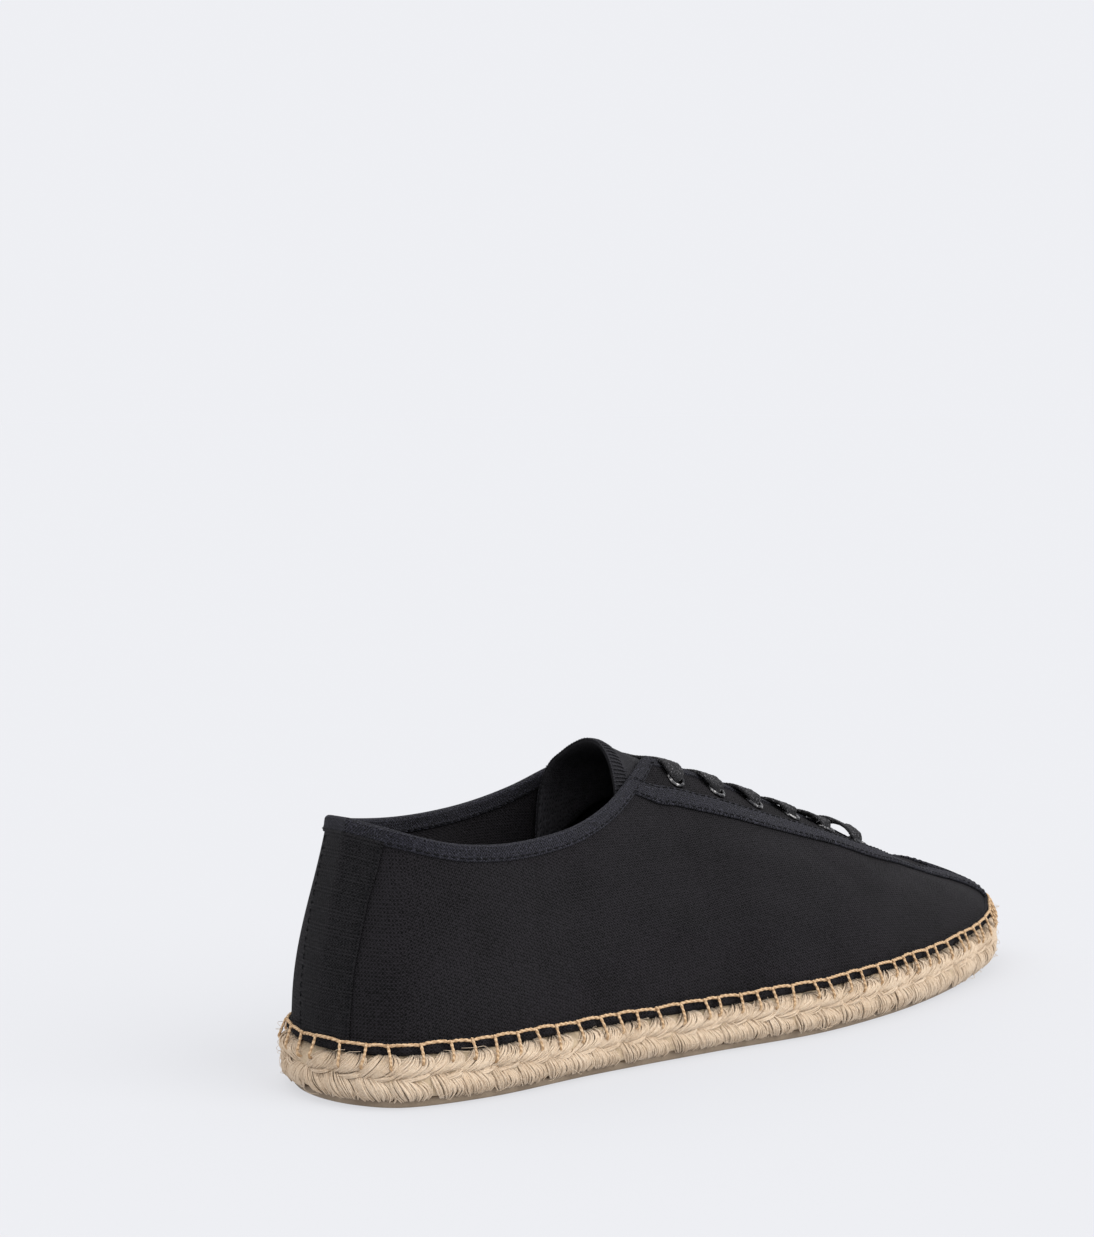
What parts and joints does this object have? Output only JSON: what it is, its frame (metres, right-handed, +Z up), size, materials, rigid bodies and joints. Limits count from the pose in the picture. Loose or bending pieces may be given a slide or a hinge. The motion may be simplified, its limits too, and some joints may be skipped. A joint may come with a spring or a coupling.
{
  "type": "espadrille",
  "caption": "Right lace-up espadrille: a black canvas upper with taped facings and flat laces on a braided jute sole with a thin rubber tread.",
  "frame": {"origin": "middle of the shoe's footprint on the ground", "axes": "+X from heel to toe, +Y to the inner (medial) side of this right shoe, +Z up"},
  "size_m": [0.3026, 0.0974, 0.0936],
  "materials": {
    "canvas": "matte plain-weave cotton canvas, black",
    "tongue": "matte plain-weave cotton canvas, black",
    "lace": "flat woven cotton lace, black",
    "jute": "natural braided jute",
    "insole": "matte textile sock lining, dark",
    "rubber": "matte tan crepe rubber",
    "eyelet": "gunmetal lacquer, a little worn"
  },
  "bodies": {
    "root": {"outsole": "rubber", "midsole": "jute", "insole": "insole", "upper": "canvas", "tongue": "tongue", "eyelet_lateral_1": "eyelet", "eyelet_lateral_2": "eyelet", "eyelet_lateral_3": "eyelet", "eyelet_lateral_4": "eyelet", "eyelet_lateral_5": "eyelet", "eyelet_lateral_6": "eyelet", "eyelet_medial_1": "eyelet", "eyelet_medial_2": "eyelet", "eyelet_medial_3": "eyelet", "eyelet_medial_4": "eyelet", "eyelet_medial_5": "eyelet", "eyelet_medial_6": "eyelet", "lace_bar_1": "lace", "lace_bar_2": "lace", "lace_bar_3": "lace", "lace_bar_4": "lace", "lace_bar_5": "lace", "lace_bar_6": "lace"}
  },
  "joints": []
}
